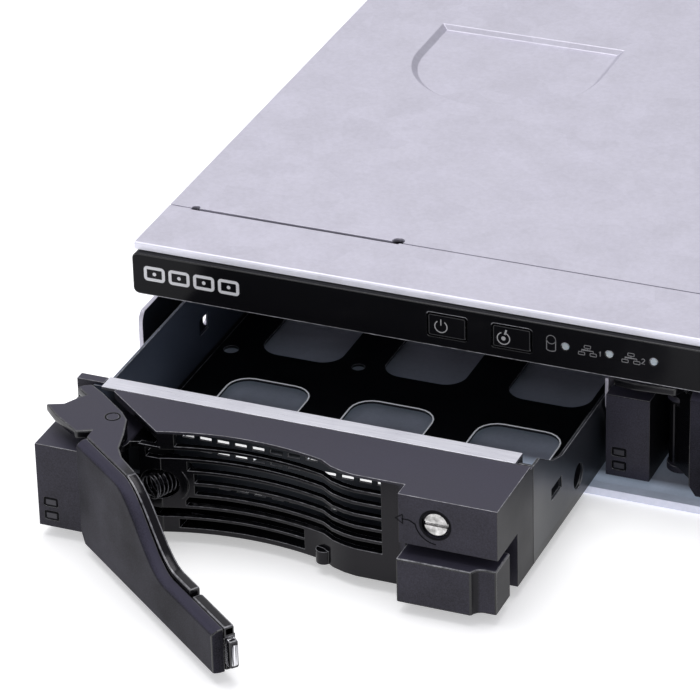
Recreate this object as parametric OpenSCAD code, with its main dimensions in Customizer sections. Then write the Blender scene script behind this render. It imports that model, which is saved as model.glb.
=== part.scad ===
// Four-bay rack-mount network attached storage, one rack unit high.
// X runs across the front, Y runs from the front to the rear, Z is up.
// The origin is the centre of the underside.

/* [Chassis] */
// Width of the casing
chassis_w = 439; // [437:0.5:445]
// Depth of the casing, screw heads included
chassis_d = 499; // [470:1:600]
// Height of the casing
chassis_h = 43.5; // [43.5:0.1:44.4]
// Thickness of the steel sheet
sheet = 1.1; // [0.9:0.1:1.2]
// Distance from the bezel's face back to the seam in the top
seam_y = 21.2; // [20:0.1:24]
// Travel of the top cover before it lifts off
lid_travel = 12; // [8:1:16]

/* [Front bezel] */
// Height of the bezel's lower edge
bezel_z = 31.2; // [31:0.1:32]
// Depth of the bezel strip
bezel_depth = 5; // [4:0.1:6]
// Width of a push button
button_w = 8.7; // [7:0.1:10]
// Height of a push button
button_h = 5.2; // [4:0.1:6]
// Travel of a push button
button_travel = 0.8; // [0.5:0.1:1.2]

/* [Trays] */
// Distance between two neighbouring bays
bay_pitch = 109.2; // [109:0.1:110]
// Width of a tray
tray_w = 107.4; // [107:0.1:107.6]
// Length of a tray
tray_l = 172; // [170:1:176]
// Distance from the bezel's face back to a closed tray's face
tray_set_back = 6.4; // [6:0.1:8]
// How far the first tray is drawn out
tray_1_out = 62.8; // [0:0.1:120]
// How far the first tray's lever is swung open, in degrees
lever_1_open = 38.4; // [0:0.1:42]

/* [Tray front] */
// Height of the tray front's top face
front_top = 27.8; // [27:0.1:28]
// Radius of the curved grille
grille_r = 66; // [60:1:72]
// Distance between two grille slots
slot_pitch = 2.95; // [2.8:0.05:3.1]
// Height of a grille slot
slot_h = 2.2; // [1.8:0.05:2.3]
// Travel of the release button
release_travel = 2.4; // [1:0.1:3]

/* [Lever] */
// Length of the lever from its pin to its tip
lever_l = 67.5; // [66:0.1:67.5]
// Height of the lever's slim end
lever_slim = 13.1; // [12.5:0.1:13.2]
// Radius of the hinge pin
pin_r = 1.4; // [1.2:0.05:1.5]
// Gap between the hinge pin and its bore
pin_gap = 0.05; // [0.02:0.01:0.1]

/* [Inside] */
// Side of a cooling fan
fan_size = 40; // [38:1:40]
// Thickness of a cooling fan
fan_depth = 28; // [20:1:28]
// Distance between two cooling fans
fan_pitch = 96; // [60:1:96]
// Number of blades on a fan rotor
fan_blades = 7; // [5:1:9]

/* [Hidden] */
$fn = 64;
tray_parts = ["carrier", "front", "trim_strip", "light_pipe", "pivot_pin", "lever_spring",
              "hook_arm", "lever_cover", "release_button", "lock_screw"];

steel = [0.80, 0.80, 0.84];
gloss_black = [0.05, 0.05, 0.06];
charcoal = [0.24, 0.24, 0.27];
dark_steel = [0.10, 0.11, 0.13];
bright = [0.85, 0.85, 0.88];
board_green = [0.05, 0.28, 0.14];

front = -chassis_d / 2;
half_w = chassis_w / 2;
inner_w = half_w - sheet;
rear_wall = chassis_d / 2 - 2.5;
sheet_z = chassis_h - sheet;
bezel_top = sheet_z - 0.75;
flange_z = bezel_z + 1;
seam_gap = 0.3;

// Slot in the seam, measured from the left end
seam_slot_x0 = 5.5;
seam_slot_x1 = 56.6;
notch_z = 25.2;
notch_y = 24;
floor_y = front + 1;
side_y = front + 5;
wall_front_y = front + 1.6;
divider_y = front + 9.4;
hem = 2;
cage_y = front + 6.4;
cage_end = front + 185;
roof_z = 30;
backplane_y = front + 186.5;
fan_y = front + 196;
fan_shaft_r = 1.5;
board_y0 = front + 250;
board_y1 = rear_wall - sheet - 8;
board_z = 8;
board_x0 = -206;
board_x1 = 96;
psu_w = 81.5;
psu_h = 40.4;
psu_l = 150;
psu_x = inner_w - 3 - psu_w;
psu_y = rear_wall - psu_l;
port_y = rear_wall - 14;
port_z = 10;

// Control strip, measured from the left end of the bezel
control_z = 36.6;
power_x = 76.3;
locate_x = 91.5;
lamp_x = 104;
lamp_pitch = 10.15;
lamp_z = 36.8;
lamp_r = 0.8;
lamps = 3;
cap_gap = 0.3;

// Cover screws
screw_xs = [-200, -40, 120];
screw_z = 39.3;
screw_r = 1.5;

// Tray, measured from the left end and the face of its front
pivot = [14.8, 9.1];
block_w = 10.2;
block_top = 23;
wall_t = 1.6;
arc_x = 47.5;
arc_y = 9.7;
arc_end = 66;
flat_x = 74;
flat_y = 4;
right_x = 85;
right_z = 15.8;
front_end = 21.3;
panel_end = 19.9;
plate_z = 25.8;
plate_t = 1.9;
ear_z = 20.4;
ear_t = 1.3;
pan_x0 = 4.2;
pan_t = 0.7;
pan_z = 2.5;
pan_y = 21.5;
wall_top_left = 23.7;
wall_top_right = 19.8;
vent_pitch = 4.2;
vent_rows = [6.3, 15, 17.9];

// Carrier windows, as the start and end of each row along the tray
window_rows = [[38, 74.5], [87, 124], [136.5, 163]];
window_w = 19.8;
window_pitch = 30.7;

// Grille in the tray front: the lowest of six long slots, and the left end and height of two short ones
slot_z0 = 9.35;
top_slot_h = 3;
slots_end = 79.5;
low_slots = [[24, 6.5], [30.4, 3.7]];
low_slots_end = 59.5;

// Left end of the tray front's upper face, and of the stub of wall beside it
face_x0 = 26.4;
stub_x0 = 22;
stub_top = 24;

// Return spring behind the lever
spring_x = 28.2;
spring_z = 14.6;
spring_r = 2.7;
hub_r = 3;
drive_hole_dx = 95.25;
drive_hole_dy = 44.45;
drive_hole_y = 108;
drive_hole_r = 1.75;
lock_x = 93.4;
lock_z = 21.7;
lock_head_r = 2.65;
lock_shank_r = 1.7;
release_x0 = 85.2;
release_x1 = 107.2;
release_y0 = -2.5;
release_y1 = 7.9;
release_z1 = 13.3;

// Lever, measured from its pin along the closed lever
cover_y = -11.6;
seam_lever_y = -9;
web_y = -6.4;
cover_x0 = 5.3;
swoop_x0 = 23.5;
swoop_x1 = 45.5;
rim_end = 52.3;
rim_top = 14.2;
tip_x0 = 53;

function tray_x(i) = (i - 2.5) * bay_pitch - tray_w / 2;
function tray_y(i) = front + tray_set_back - (i == 1 ? tray_1_out : 0);
function lever_open(i) = i == 1 ? lever_1_open : 0;
function ease(t) = (1 - cos(180 * max(0, min(1, t)))) / 2;

// Face of the curved grille at a place across the tray
function arc_face(x) = arc_y - grille_r + sqrt(grille_r ^ 2 - (x - arc_x) ^ 2);
function face(x) = x < arc_end
    ? arc_face(x)
    : arc_face(arc_end) + (flat_y - arc_face(arc_end)) * ease((x - arc_end + 5) / (flat_x - arc_end + 5));
function face_line(x0, x1, back) = [for (k = [0:20]) let (x = x0 + (x1 - x0) * k / 20) [x, face(x) + back]];
function reversed(list) = [for (k = [len(list) - 1:-1:0]) list[k]];

// Upper edge of the lever at a distance from its pin, and that edge drawn in by a margin
function swoop(s, low) = let (high = front_top - 0.1)
    high - (high - low) * ease((s - swoop_x0) / (swoop_x1 - swoop_x0));
function swoop_slope(s) = (swoop(s + 0.05, lever_slim) - swoop(s - 0.05, lever_slim)) / 0.1;
function swoop_in(s, e) = let (m = swoop_slope(s), n = sqrt(1 + m ^ 2))
    [s + e * m / n, swoop(s, lever_slim) - e / n];

module rounded_rect(w, h, r) {
    square([w - 2 * r, h], center = true);
    square([w, h - 2 * r], center = true);
    for (sx = [-1, 1])
        for (sy = [-1, 1])
            translate([sx * (w / 2 - r), sy * (h / 2 - r)])
                circle(r);
}

// A rounded block standing on the front plane: width along X, height along Z, length along Y
module front_block(x, y, z, w, h, depth, r) {
    translate([x, y + depth, z])
        rotate([90, 0, 0])
            linear_extrude(depth)
                rounded_rect(w, h, r);
}

// A rod along Y that starts at a front plane
module rod_y(x, y, z, r, depth) {
    translate([x, y, z])
        rotate([-90, 0, 0])
            cylinder(h = depth, r = r);
}

// Solid between outlines that have the same number of points, stacked in order
module loft(layers) {
    n = len(layers[0]);
    last = len(layers) - 1;
    polyhedron(
        points = [for (layer = layers) for (p = layer) p],
        faces = concat(
            [[for (k = [0:n - 1]) k]],
            [for (j = [0:last - 1]) for (k = [0:n - 1])
                [j * n + k, (j + 1) * n + k, (j + 1) * n + (k + 1) % n, j * n + (k + 1) % n]],
            [[for (k = [0:n - 1]) last * n + (n - k) % n]]));
}

// Solid with a wire's round section along a helix, closed at both ends
module coil(r, wire, turns, pitch) {
    sides = 6;
    steps = 14 * turns;
    ring = function(k) let (a = 360 * turns * k / steps)
        [for (s = [0:sides - 1]) let (b = 360 * s / sides)
            [(r + wire * cos(b)) * cos(a), (r + wire * cos(b)) * sin(a),
             pitch * turns * k / steps + wire * sin(b)]];
    loft([for (k = [0:steps]) ring(k)]);
}

// ---- Chassis ----

module hook_notch(x) {
    translate([x - 3, floor_y, notch_z])
        cube([6, notch_y - 4, flange_z]);
    translate([x - 3, floor_y, notch_z + 4])
        cube([6, notch_y, flange_z]);
    translate([x - 3, floor_y + notch_y - 4, notch_z + 4])
        rotate([0, 90, 0])
            cylinder(h = 6, r = 4);
}

module rear_cutouts() {
    cut = 4;
    translate([psu_x - 0.3, rear_wall - cut, 1.9])
        cube([psu_w + 0.6, 2 * cut, psu_h + 0.6]);
    translate([-176, rear_wall - cut, port_z - 0.4])
        cube([104, 2 * cut, 16.8]);
    for (k = [0:33])
        for (row = [0:3])
            translate([-58 + 5 * k + (row % 2) * 2.5, rear_wall + cut, 10 + 7 * row])
                rotate([90, 0, 0])
                    cylinder(h = 2 * cut, r = 1.7, $fn = 6);
    for (x = screw_xs)
        rod_y(x, rear_wall - cut, screw_z, screw_r + 0.3, 2 * cut);
}

module side_holes(side) {
    for (y = [front + 36, front + 68])
        for (z = [7, 21])
            translate([side * (half_w - 4), y, z])
                rotate([0, side * 90, 0])
                    cylinder(h = 8, r = 2.1);
    for (k = [0:15])
        translate([side * half_w - 4, front + 206 + 5 * k, 10])
            cube([8, 2.6, 14]);
}

// Rounded front end of a side wall, seen along X
module wall_front() {
    r = 3;
    rotate([90, 0, 90])
        linear_extrude(sheet)
            polygon(concat([[side_y + 1, 0], [wall_front_y, 0]],
                           [for (a = [180:-15:90])
                               [wall_front_y + r + r * cos(a), notch_z + 0.3 - r + r * sin(a)]],
                           [[side_y + 1, notch_z + 0.3]]));
}

module chassis_base() color(steel) {
    difference() {
        union() {
            translate([-half_w, floor_y, 0])
                cube([chassis_w, rear_wall - floor_y, sheet]);
            translate([-half_w, floor_y, 0])
                cube([chassis_w, 3, hem]);
            for (side = [-1, 1])
                translate([side < 0 ? -half_w : half_w - sheet, side_y, 0])
                    cube([sheet, rear_wall - side_y, bezel_z + 0.6]);
            for (side = [-1, 1])
                translate([side < 0 ? -half_w : half_w - sheet, 0, 0])
                    wall_front();
            translate([0.2 - inner_w, rear_wall - sheet, 0])
                cube([2 * inner_w - 0.4, sheet, sheet_z - 0.3]);
            for (x = [board_x0 + 8, board_x1 - 8])
                for (y = [board_y0 + 8, board_y1 - 8])
                    translate([x, y, 0])
                        cylinder(h = board_z, r = 3);
        }
        for (side = [-1, 1]) {
            hook_notch(side * half_w);
            side_holes(side);
        }
        rear_cutouts();
    }
}

module bay_cage() color(steel) {
    divider_t = 0.8;
    difference() {
        union() {
            translate([-inner_w + 0.2, cage_y, roof_z])
                cube([2 * inner_w - 0.4, cage_end - cage_y, 1]);
            for (k = [-1:1])
                translate([k * bay_pitch - divider_t / 2, 0, 0])
                    rotate([90, 0, 90])
                        linear_extrude(divider_t)
                            polygon([[divider_y, 18], [divider_y + 12, sheet], [cage_end, sheet],
                                     [cage_end, roof_z + 0.5], [divider_y, roof_z + 0.5]]);
        }
        for (k = [-1:1])
            translate([k * bay_pitch - 2, floor_y - 1, notch_z])
                cube([4, notch_y, roof_z - notch_z]);
        for (k = [-10:10])
            translate([k * 20 - 6, cage_end - 60, roof_z - 1])
                cube([12, 40, 3]);
    }
}

// Bent sheet with a softly rounded front edge, its backing flange and side flanges
module front_top_panel() color(steel) {
    bend = 0.6;
    lip_t = 0.9;
    lip_z = bezel_top + 0.1;
    panel_y = front + 1.5;
    difference() {
        union() {
            translate([-half_w, panel_y + bend, sheet_z])
                cube([chassis_w, seam_y - 1.5 - bend, sheet]);
            translate([-half_w, panel_y + bend, chassis_h - bend])
                rotate([0, 90, 0])
                    cylinder(h = chassis_w, r = bend);
            translate([-half_w, panel_y, lip_z])
                cube([chassis_w, lip_t, chassis_h - bend - lip_z]);
            translate([-half_w, front + bezel_depth + 0.1, bezel_z])
                cube([chassis_w, sheet, sheet_z - bezel_z + 0.1]);
            for (side = [-1, 1])
                translate([side < 0 ? -half_w : inner_w, front + bezel_depth + 0.1, flange_z])
                    cube([sheet, seam_y - bezel_depth - 0.1, sheet_z - flange_z + 0.1]);
        }
        for (x = [power_x, locate_x])
            front_block(-half_w + x, front + bezel_depth - 1, control_z,
                        button_w + 0.6, button_h + 0.6, 4, 0.5);
        translate([-half_w + seam_slot_x0, front + seam_y - 0.5, sheet_z - 1])
            cube([seam_slot_x1 - seam_slot_x0, 2, 3]);
    }
}

module recess_outline(r, straight) {
    difference() {
        union() {
            circle(r);
            translate([-r, 0])
                square([2 * r, straight]);
        }
        translate([-r - 1, straight])
            square([2 * r + 2, r]);
    }
}

module lid() color(steel) {
    lid_y = front + seam_y + seam_gap;
    lid_end = rear_wall + sheet + 0.1;
    recess_x = -half_w + 47;
    recess_y = front + 117.6;
    recess_depth = 1.2;
    difference() {
        union() {
            translate([-half_w, lid_y, sheet_z])
                cube([chassis_w, lid_end - lid_y, sheet]);
            for (side = [-1, 1])
                translate([side < 0 ? -half_w : inner_w, lid_y, flange_z])
                    cube([sheet, rear_wall - 1 - lid_y, sheet_z - flange_z + 0.1]);
            translate([recess_x, recess_y, sheet_z - 1])
                linear_extrude(1.2)
                    recess_outline(24.5, 17.6);
            for (x = screw_xs)
                translate([x - 8, rear_wall + 0.1, sheet_z - 7])
                    cube([16, sheet, 7.1]);
        }
        translate([recess_x, recess_y, chassis_h - recess_depth])
            linear_extrude(recess_depth + 0.1, scale = 1.07)
                recess_outline(22.4, 15.8);
        translate([-half_w + seam_slot_x0, lid_y - 1, sheet_z - 1])
            cube([seam_slot_x1 - seam_slot_x0, 1.2, 3]);
        translate([-half_w + seam_slot_x0 + 0.8, lid_y + 0.4, sheet_z - 1])
            cylinder(h = 3, r = 0.9);
        translate([-half_w + seam_slot_x1 - 0.5, lid_y + 0.7, sheet_z - 1])
            cylinder(h = 3, r = 1.4);
        for (x = screw_xs)
            rod_y(x, rear_wall - 1, screw_z, screw_r, 4);
    }
}

module front_bezel() color(gloss_black) {
    bezel_h = bezel_top - bezel_z;
    difference() {
        front_block(0, front, bezel_z + bezel_h / 2, chassis_w, bezel_h - 0.1, bezel_depth, 1.5);
        for (x = [power_x, locate_x])
            front_block(-half_w + x, front - 1, control_z,
                        button_w + 2 * cap_gap, button_h + 2 * cap_gap, 9, 0.5);
        for (k = [0:lamps - 1])
            rod_y(-half_w + lamp_x + k * lamp_pitch, front - 1, lamp_z, lamp_r, 9);
    }
}

module push_button(x) color(gloss_black) {
    front_block(-half_w + x, front, control_z, button_w, button_h, 4.6, 0.4);
    front_block(-half_w + x, front + 4, control_z, 3, 2.4, 3.2, 0.3);
}

module power_button() push_button(power_x);
module locate_button() push_button(locate_x);

module status_lenses() color("white")
    for (k = [0:lamps - 1])
        rod_y(-half_w + lamp_x + k * lamp_pitch, front, lamp_z, lamp_r, bezel_depth);

// ---- Inside ----

module backplane() {
    color(board_green)
        difference() {
            translate([-214, backplane_y, 3])
                cube([428, 1.6, 38]);
            for (k = [-2:1])
                for (m = [0:3])
                    translate([k * bay_pitch + 12 + 24 * m, backplane_y - 1, 20])
                        cube([18, 4, 16]);
        }
    color("black")
        for (i = [1:4])
            difference() {
                translate([tray_x(i) + 38, backplane_y - 6, 6])
                    cube([36, 6.1, 7]);
                translate([tray_x(i) + 40, backplane_y - 7, 8])
                    cube([32, 5, 3]);
            }
}

module fan_frames() color("black")
    for (k = [-1:1])
        translate([k * fan_pitch - 60, fan_y, 1.6 + fan_size / 2])
            rotate([-90, 0, 0]) {
                linear_extrude(fan_depth)
                    difference() {
                        square(fan_size, center = true);
                        circle(fan_size / 2 - 1);
                        for (a = [45:90:315])
                            rotate(a)
                                translate([fan_size * 0.566, 0])
                                    circle(1.7);
                    }
                translate([0, 0, fan_depth - 2])
                    linear_extrude(2)
                        difference() {
                            union() {
                                circle(8);
                                for (a = [0:120:240])
                                    rotate(a)
                                        translate([0, -1])
                                            square([fan_size / 2 - 0.5, 2]);
                            }
                            circle(fan_shaft_r + 0.1);
                        }
            }

module fan_rotor(k) color("dimgray")
    translate([(k - 2) * fan_pitch - 60, fan_y + 3, 1.6 + fan_size / 2])
        rotate([-90, 0, 0]) {
            cylinder(h = fan_depth - 6, r = 9);
            cylinder(h = fan_depth - 3.5, r = fan_shaft_r);
            for (a = [0:fan_blades - 1])
                rotate(a * 360 / fan_blades)
                    translate([5, -0.6, 2])
                        rotate([28, 0, 0])
                            cube([fan_size / 2 - 9, 1.2, fan_depth - 11]);
        }

module mainboard() {
    color(board_green)
        translate([board_x0, board_y0, board_z])
            cube([board_x1 - board_x0, board_y1 - board_y0, 1.6]);
    color("black") {
        translate([board_x0 + 30, board_y0 + 20, board_z + 1.5])
            cube([72, 6, 5]);
        for (k = [0:3])
            translate([board_x1 - 90 + 18 * k, board_y0 + 24, board_z + 1.5])
                cube([12, 7, 9]);
    }
}

module heat_sink() color("silver")
    translate([-60, board_y0 + 84, board_z + 1.6]) {
        cube([80, 80, 4]);
        for (k = [0:15])
            translate([5 * k, 0, 3])
                cube([1.4, 80, 22]);
    }

module memory_module() color([0.06, 0.22, 0.12])
    translate([board_x0 + 33, board_y0 + 22.4, board_z + 6.5]) {
        cube([66, 1.2, 25]);
        for (k = [0:3])
            translate([4 + 15.5 * k, -1, 7])
                cube([11.5, 3.2, 12]);
    }

module socket(x, w, h, lining) {
    difference() {
        translate([x, port_y, port_z])
            cube([w, 14.4, h]);
        translate([x + lining, port_y + 3, port_z + lining])
            cube([w - 2 * lining, 14, h - 2 * lining]);
    }
}

module rear_ports() color("silver") {
    for (k = [0, 1])
        socket(-174 + 20 * k, 16, 13.4, 1.2);
    for (k = [0, 1]) {
        socket(-130 + 20 * k, 14.6, 7, 0.7);
        translate([-128 + 20 * k, port_y + 2, port_z + 3.6])
            cube([10.6, 9, 1.9]);
    }
    socket(-90, 16.4, 6, 0.7);
    translate([-87.6, port_y + 2, port_z + 2.2])
        cube([11.6, 9, 1.4]);
}

module psu_case() color(steel)
    difference() {
        translate([psu_x, psu_y, 2.1])
            cube([psu_w, psu_l, psu_h - 0.4]);
        translate([psu_x + sheet, psu_y + sheet, 2.1 + sheet])
            cube([psu_w - 2 * sheet, psu_l - 2 * sheet, psu_h - 0.4 - 2 * sheet]);
        front_block(psu_x + 20, rear_wall - 2, 22, 29.2, 22.4, 4, 0.6);
        for (ring = [1:3])
            for (a = [0:360 / (6 * ring):359])
                rod_y(psu_x + 56 + 5.4 * ring * cos(a), rear_wall - 2, 22 + 5.4 * ring * sin(a), 2, 4);
    }

module mains_inlet() color("black") {
    inlet_x = psu_x + 20;
    difference() {
        union() {
            front_block(inlet_x, rear_wall - 20, 22, 28.6, 21.8, 20, 0.5);
            front_block(inlet_x, rear_wall, 22, 31, 24, 1.5, 3);
        }
        front_block(inlet_x, rear_wall - 16, 22, 24.5, 16.5, 20, 2);
    }
    for (k = [-1:1])
        translate([inlet_x + 7 * k - 1, rear_wall - 17, k == 0 ? 24 : 18])
            cube([2, 12, 4]);
}

module cover_screws() color("silver")
    for (x = screw_xs)
        difference() {
            union() {
                rod_y(x, rear_wall - 6, screw_z, screw_r, 8);
                rod_y(x, rear_wall + sheet + 0.1, screw_z, 2.7, 1.3);
            }
            translate([x - 0.4, rear_wall + sheet + 0.8, screw_z - 2])
                cube([0.8, 2, 4]);
            translate([x - 2, rear_wall + sheet + 0.8, screw_z - 0.4])
                cube([4, 2, 0.8]);
        }

// ---- Trays ----

module window(x, y, w, l, r) {
    translate([x, y, 0])
        linear_extrude(8)
            rounded_rect(w, l, r);
}

module carrier_shell() {
    rear = tray_l;
    translate([pan_x0, pan_y, pan_z])
        cube([tray_w - pan_x0, rear - pan_y, pan_t]);
    translate([pan_x0, pan_y, pan_z])
        cube([pan_t, rear - pan_y, wall_top_left - pan_z]);
    translate([tray_w - pan_t, pan_y, pan_z])
        cube([pan_t, rear - pan_y, wall_top_right - pan_z]);
    translate([tray_w, 0, 0])
        rotate([0, -90, 0])
            linear_extrude(pan_t)
                polygon([[pan_z, pan_y], [front_top - 1, pan_y], [front_top - 1, pan_y + 4],
                         [wall_top_right + 2, pan_y + 12], [wall_top_right, pan_y + 18],
                         [pan_z, pan_y + 18]]);
    translate([pan_x0, pan_y, pan_z])
        cube([tray_w - pan_x0, pan_t, front_top - 0.8 - pan_z]);
}

module carrier() color(dark_steel)
    difference() {
        carrier_shell();
        for (col = [0:2])
            for (y = window_rows)
                window(24.3 + window_pitch * col, (y[0] + y[1]) / 2, window_w, y[1] - y[0], 5);
        for (k = [0:19])
            for (z = vent_rows)
                translate([12.6 + vent_pitch * k, pan_y - 1, z])
                    cube([2.9, 3, 0.9]);
        for (k = [0:4])
            translate([33 + 3 * vent_pitch * k, pan_y + 5.5, 0])
                cube([2 * vent_pitch, 3.4, 8]);
        for (sx = [-1, 1])
            for (sy = [-1, 1])
                translate([55.8 + sx * drive_hole_dx / 2, drive_hole_y + sy * drive_hole_dy / 2, 0])
                    cylinder(h = 8, r = drive_hole_r);
        translate([39.5, 88, 0])
            cylinder(h = 8, r = 1.5);
        translate([tray_w - 2, 32.8, 12])
            cube([4, 6.4, 3]);
        translate([tray_w - 2, 50, 8.8])
            rotate([0, 90, 0])
                cylinder(h = 4, r = 3);
        translate([pan_x0 - 1, 76, 11])
            cube([4, 5, 4]);
    }

module grille_slots() {
    cut = 14;
    starts = [32, 34, 34, 32.6, 23.6, 30];
    for (k = [0:5])
        translate([starts[k], 0, slot_z0 + slot_pitch * k])
            cube([slots_end - starts[k], cut, k == 5 ? top_slot_h : slot_h]);
    for (low = low_slots)
        translate([low[0], 0, low[1]])
            cube([low_slots_end - low[0], cut, slot_h]);
}

module tray_front_plates() {
    linear_extrude(1.3)
        polygon(concat([[stub_x0, face(face_x0)]], face_line(face_x0, right_x, 0),
                       [[right_x, 11.9], [tray_w, 11.9], [tray_w, front_end], [0, front_end],
                        [0, 14.5], [12, 14.5], [12, 13]]));
    translate([0, 0, front_top - pan_z - 1.8])
        linear_extrude(1.8)
            polygon(concat([[10.4, 19.1]], face_line(face_x0, right_x, 0),
                           [[right_x, 0], [tray_w, 0], [tray_w, panel_end], [10.4, panel_end]]));
}

module tray_ear(z, t) {
    ear_r = 3.4;
    rear = front_end - 0.3;
    translate([0, 0, z])
        linear_extrude(t) {
            translate(pivot)
                circle(ear_r);
            polygon([[pivot[0] - ear_r, pivot[1]], [18, 9.9], [23.1, 11.5], [24, rear],
                     [pivot[0] - ear_r, rear]]);
        }
}

module tray_front() color(charcoal)
    difference() {
        union() {
            translate([0, 0, pan_z])
                cube([block_w, 14.8, block_top - pan_z]);
            translate([0, 14.7, pan_z])
                cube([4, front_end - 14.7, block_top - pan_z]);
            translate([0, front_end + 0.7, 18])
                cube([4, 2.5, front_top - 0.1 - 18]);
            translate([0, front_end - 0.1, 18])
                cube([4, 1, block_top - 18]);
            translate([0, front_end + 0.7, wall_top_left + 0.2])
                cube([6.6, 2.5, front_top - 0.3 - wall_top_left]);
            translate([0, 0, pan_z])
                tray_front_plates();
            translate([0, 0, front_top - 1.8])
                linear_extrude(1)
                    polygon([[10.4, panel_end - 0.1], [tray_w, panel_end - 0.1], [tray_w, front_end],
                             [10.4, front_end]]);
            translate([0, 0, pan_z])
                linear_extrude(front_top - pan_z - 0.5)
                    polygon(concat(face_line(face_x0, right_x, 0),
                                   reversed(face_line(face_x0, right_x, wall_t))));
            translate([stub_x0, face(face_x0), pan_z])
                cube([face_x0 - stub_x0 + 0.6, wall_t, stub_top - pan_z]);
            translate([stub_x0, face(face_x0), pan_z])
                cube([wall_t, front_end - 0.5 - face(face_x0), ear_z + ear_t - pan_z]);
            tray_ear(pan_z, 1.6);
            tray_ear(ear_z, ear_t);
            translate([right_x, 0, right_z])
                cube([tray_w - right_x, 8, front_top - right_z - 1]);
            translate([tray_w - 2, 0, right_z])
                cube([2, front_end, front_top - right_z - 1]);
            translate([right_x - 1.6, flat_y, pan_z])
                cube([wall_t, 9.5, front_top - pan_z - 1]);
            translate([102.4, 11.9, pan_z])
                cube([tray_w - 102.4, front_end - 11.9, front_top - pan_z - 1]);
            translate([right_x - 1, 11.9, pan_z])
                cube([19, wall_t, right_z - pan_z + 1]);
            rod_y(spring_x - 0.2, 7.6, spring_z, 4.8, 4.6);
            translate([64.5, face(64.5), pan_z])
                cylinder(h = 3.2, r = 1.8);
        }
        difference() {
            grille_slots();
            rod_y(spring_x - 0.2, 4, spring_z, 5.6, 12);
        }
        spring_place()
            translate([0, 0, 0.2])
                cylinder(h = 15, r = spring_r + 0.9);
        translate([pivot[0], pivot[1], 0])
            cylinder(h = 26, r = pin_r);
        rod_y(lock_x, -1, lock_z, 3.2, 2.4);
        rod_y(lock_x, 0, lock_z, lock_shank_r + 0.05, 12);
        for (z = [8.7, 5.3])
            front_block(3.1, -1, z, 3.3, 2.2, 14, 0.4);
        translate([91.7, 11, 5.7])
            cube([6.6, 4, 5.6]);
    }

module trim_strip() color(bright) {
    strip_x0 = 6.9;
    strip_l = 97;
    translate([strip_x0, 20, front_top - 0.7])
        cube([strip_l, 4.6, 0.8]);
    translate([strip_x0, 24, front_top - 2.4])
        cube([strip_l, 0.6, 2]);
}

module light_pipe() color([0.55, 0.56, 0.60]) {
    translate([0.4, 23.6 + 1, 15.6])
        cube([2.2, tray_l - 26, 2.2]);
    for (z = [8.7, 5.3])
        front_block(3.1, 0, z, 3, 1.9, 12.9, 0.3);
}

module pivot_pin() color("silver")
    translate([pivot[0], pivot[1], pan_z])
        cylinder(h = front_top - 0.1 - pan_z, r = pin_r);

module spring_place()
    translate([spring_x, 10.5, spring_z])
        rotate([90, 0, -26])
            children();

module lever_spring() color("dimgray")
    spring_place()
        translate([0, 0, 0.6])
            coil(spring_r, 0.28, 6, 1.0);

module hook_plate() {
    polygon([[-12.9, -9.9], [-11.0, -6.4], [-11.7, -2.9], [-11.8, -0.8], [-15.9, -0.8], [-16.1, 0.7],
             [-15.4, 2.6], [-10.8, 3.0], [-1.1, 2.9], [2.7, 2.2], [7.9, -1.1], [12.8, -4.8],
             [16.6, -6.0], [24, web_y], [24, seam_lever_y + 0.1], [5.0, seam_lever_y + 0.1], [3.0, -6.6],
             [1.5, -9.8], [-7.7, -10.4]]);
}

module hook_arm() color(charcoal)
    difference() {
        union() {
            translate([0, 0, plate_z])
                linear_extrude(plate_t)
                    hook_plate();
            translate([0, 0, 4.4])
                cylinder(h = plate_z + 0.1 - 4.4, r = hub_r);
            translate([0, 0, 4.4])
                linear_extrude(plate_z + 0.1 - 4.4)
                    polygon([[-1, -3], [4, -1], [7.5, web_y], [7.5, seam_lever_y + 0.1],
                             [5, seam_lever_y + 0.1]]);
            translate([0, web_y, 0])
                rotate([90, 0, 0])
                    linear_extrude(web_y - seam_lever_y - 0.1)
                        polygon(concat([[lever_l - 0.1, 2.6], [5, 2.6], [5, plate_z + 1]],
                                       [for (k = [0:18]) let (s = 21 + (swoop_x1 - 21) * k / 18)
                                           [s, swoop(s, rim_top)]],
                                       [[rim_end, rim_top], [rim_end, 11.6], [tip_x0, 11.6],
                                        [tip_x0, lever_slim], [lever_l - 0.1, lever_slim]]));
            translate([lever_l - 1, seam_lever_y + 0.1, 4.2])
                cube([3.3, 2.1, 6.6]);
        }
        translate([0, 0, -1])
            cylinder(h = 32, r = pin_r + pin_gap);
        translate([0, 0, ear_z - 0.3])
            cylinder(h = ear_t + 0.6, r = 4.6);
    }

// Outline of the lever's cover at one depth, with its upper edge and tip drawn in by a margin
function cover_outline(y, e) = [for (p = concat(
    [[6.9, pan_z], [cover_x0, 4.9], [cover_x0, front_top - 0.1 - e]],
    [for (k = [0:12]) swoop_in(swoop_x0 + (swoop_x1 - swoop_x0) * k / 12, e)],
    [[lever_l - e / 2, lever_slim - e], [lever_l - e / 2, pan_z]])) [p[0], y, p[1]]];

module lever_cover() color(charcoal)
    loft([cover_outline(cover_y, 1.5), cover_outline(cover_y + 0.25, 0.95),
          cover_outline(cover_y + 0.8, 0.45), cover_outline(cover_y + 1.5, 0.12),
          cover_outline(seam_lever_y, 0)]);

module release_button() color(charcoal) {
    dent_x = 102.2;
    dent = 2;
    difference() {
        translate([release_x0, release_y0, pan_z])
            cube([release_x1 - release_x0, release_y1 - release_y0, release_z1 - pan_z]);
        translate([dent_x + 2.4, release_y0 + dent - 3, pan_z - 1])
            cube([6, 3, 16]);
        translate([dent_x + 2.4, release_y0 - 0.4, pan_z - 1])
            cylinder(h = 16, r = 2.4);
    }
    translate([92, release_y1 - 1, 6])
        cube([6, 5.4, 5]);
}

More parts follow.
